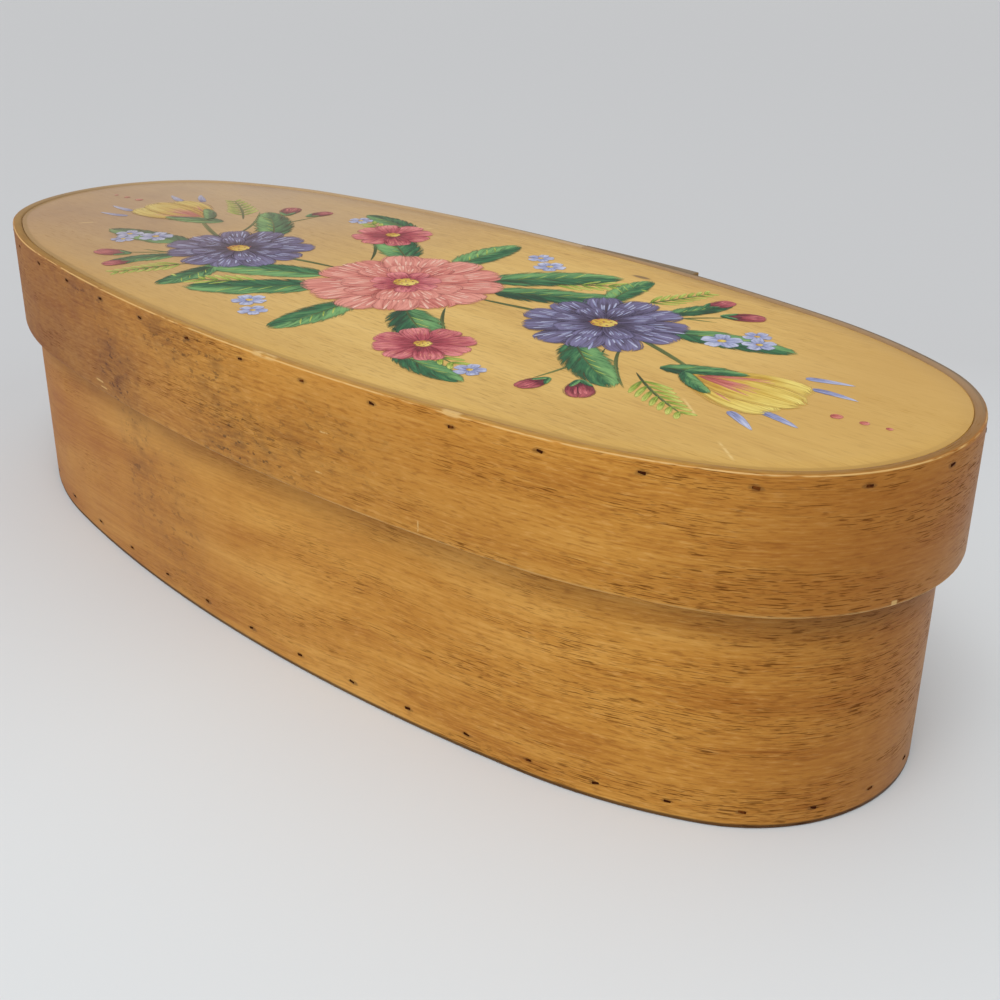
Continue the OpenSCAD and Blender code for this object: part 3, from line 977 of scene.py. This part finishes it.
def paintMaterial(name, *colours, lines):
    deep, plain, lit = (picked(*colour) for colour in colours)
    finish = {"Coat Weight": 0.08, "Coat Roughness": 0.4, "Specular IOR Level": 0.3}
    material, shader, start = newMaterial(name, finish)
    along, across, _ = start.node("ShaderNodeUVMap", {"uv_map": "stroke"}, {}).parts()
    tone = start.node("ShaderNodeAttribute", {"attribute_name": "tone"}, {}, "Fac")
    shift = tone * 31.0
    half = abs(across)
    if lines:  # bristles run with the stroke
        marks = start.vector(along * 1.6 + shift, across * lines + shift)
        light = along.step(0.0, 0.95) * 0.5
    else:  # a leaf: they slant off its rib, and one half is in the light
        marks = start.vector(along * 15.0 - half * 5.0 + shift, across * 1.3)
        light = across.step(-0.25, 0.35) * 0.4 + along * 0.1
    bristle = marks.noise((1.0, 1.0, 1.0), 3.0, 4, 0.7)
    cloud = start.vector(along * 2.5 + shift, across * 1.2 - shift).noise((1.0, 1.0, 1.0), 8.0, 2)
    share = light + (bristle - 0.5) * 1.5 + (cloud - 0.5) * 0.8 + tone * 0.24 + 0.14
    colour = share.ramp([(0.08, deep), (0.42, plain), (0.95, lit)])
    colour = (half.step(0.68, 0.98) * 0.5).blend(colour, deep)
    x, _, _ = start.node("ShaderNodeTexCoord", {}, {}, "Object").parts()
    # the paint greyer towards the left-hand end: painted sheen
    colour = (x.step(*paintShape["paintedSheen"]) * 0.4).blend(colour, panelLook["mist"])
    colour.feed(shader, "Base Color")
    rim = (1.0 - half).math("MINIMUM", (1.0 - along) * 3.0)
    cover = (rim + bristle * 0.9 - 0.42).step(0.0, 0.3) * (0.72 + bristle.step(0.3, 0.55) * 0.26)
    cover.feed(shader, "Alpha")
    (0.5 + bristle * 0.25).feed(shader, "Roughness")
    bump(bristle, shader, 0.25, 0.0002)
    return material


for family, (*colours, lines) in paintLook.items():
    paintName = family + "Paint"
    finishPiece(paints[family], paintName, "lid", paintMaterial(paintName, *colours, lines=lines))

# Stage, light and camera
# a painted pool of light: the floor is brightest just in front of the box, darker further off and pale again
# far away
stageLook = {  # brightest just in front of the box
    "middle": (0.22, -0.10, 0.0),
    "near": (0.715, 0.745, 0.765, 1.0),
    "around": (0.59, 0.60, 0.615, 1.0),
    "away": (0.72, 0.73, 0.745, 1.0),
    "reach": 4.0,
    "size": 120.0,
}


def paleFloor():
    material, shader, start = newMaterial("paleFloor", {"Roughness": 0.8})
    place = start.node("ShaderNodeTexCoord", {}, {}, "Object")
    ends = {0: place, 1: stageLook["middle"]}
    distance = place.node("ShaderNodeVectorMath", {"operation": "DISTANCE"}, ends, "Value")
    stops = [(0.05, stageLook["near"]), (0.125, stageLook["around"]), (0.8, stageLook["away"])]
    (distance * (1 / stageLook["reach"])).ramp(stops).feed(shader, "Base Color")
    return material


bm = bmesh.new()
bmesh.ops.create_grid(bm, x_segments=1, y_segments=1, size=stageLook["size"] / 2)
floorMesh = bpy.data.meshes.new("floor")
bm.to_mesh(floorMesh)
bm.free()
floor = bpy.data.objects.new("floor", floorMesh)
floor.data.materials.append(paleFloor())
bpy.context.scene.collection.objects.link(floor)

keyLamp = {"place": (0.6, -0.9, 2.5), "aim": (0, 0, 0.05), "size": 1.2, "power": 22}
light = bpy.data.lights.new("key", "AREA")
light.size = keyLamp["size"]
light.energy = keyLamp["power"]
lamp = bpy.data.objects.new("key", light)
lamp.location = keyLamp["place"]
aim = Vector(keyLamp["aim"]) - Vector(keyLamp["place"])
lamp.rotation_euler = aim.to_track_quat("-Z", "Y").to_euler()
bpy.context.scene.collection.objects.link(lamp)

# a tent of light, brighter in front and plain to the camera
roomLight = {"level": 0.65, "tilt": 0.36, "from": (-0.20, -0.87, 0.45), "plain": 0.58}
world = bpy.data.worlds.new("room")
world.use_nodes = True
sky = world.node_tree.nodes["Background"]
way = Wire(world.node_tree).node("ShaderNodeTexCoord", {}, {}, "Object")
ends = {0: way, 1: roomLight["from"]}
lit = way.node("ShaderNodeVectorMath", {"operation": "DOT_PRODUCT"}, ends, "Value")
rays = way.node("ShaderNodeLightPath", {}, {}).socket.node.outputs
seen = Wire(world.node_tree, rays["Is Camera Ray"])
for ray in ("Is Glossy Ray", "Is Transmission Ray"):
    seen = seen + Wire(world.node_tree, rays[ray])
seen = seen.math("MINIMUM", 1.0)
strength = (lit * roomLight["tilt"] + roomLight["level"]) * (1 - seen) + seen * roomLight["plain"]
strength.feed(sky, "Strength")
sky.inputs["Color"].default_value = (1.0, 1.0, 1.0, 1.0)
bpy.context.scene.world = world
bpy.context.scene.view_settings.view_transform = "Standard"

cameraSettings = {
    "place": (0.34222, -0.30217, 0.23566),
    "azimuth": 44.373,
    "elevation": 24.818,
    "roll": 0.534,
    "focalPixels": 1382.2,
    "pixels": 1000,  # width of the picture
    "sensor": 36.0,
}


def setCamera():
    angles = (math.radians(cameraSettings[key]) for key in ("azimuth", "elevation", "roll"))
    azimuth, elevation, roll = angles
    level = math.cos(elevation)
    back = Vector((math.sin(azimuth) * level, -math.cos(azimuth) * level, math.sin(elevation)))
    right = (-back).cross(Vector((0, 0, 1))).normalized()
    up = right.cross(-back)
    turned = Matrix((right, up, back)).transposed() @ Matrix.Rotation(roll, 3, "Z")
    camera = bpy.data.cameras.new("camera")
    camera.sensor_width = cameraSettings["sensor"]
    camera.lens = cameraSettings["focalPixels"] * cameraSettings["sensor"] / cameraSettings["pixels"]
    camera.clip_start = 0.01
    holder = bpy.data.objects.new("camera", camera)
    holder.matrix_world = Matrix.Translation(cameraSettings["place"]) @ turned.to_4x4()
    bpy.context.scene.collection.objects.link(holder)
    bpy.context.scene.camera = holder


setCamera()
print("stage set")
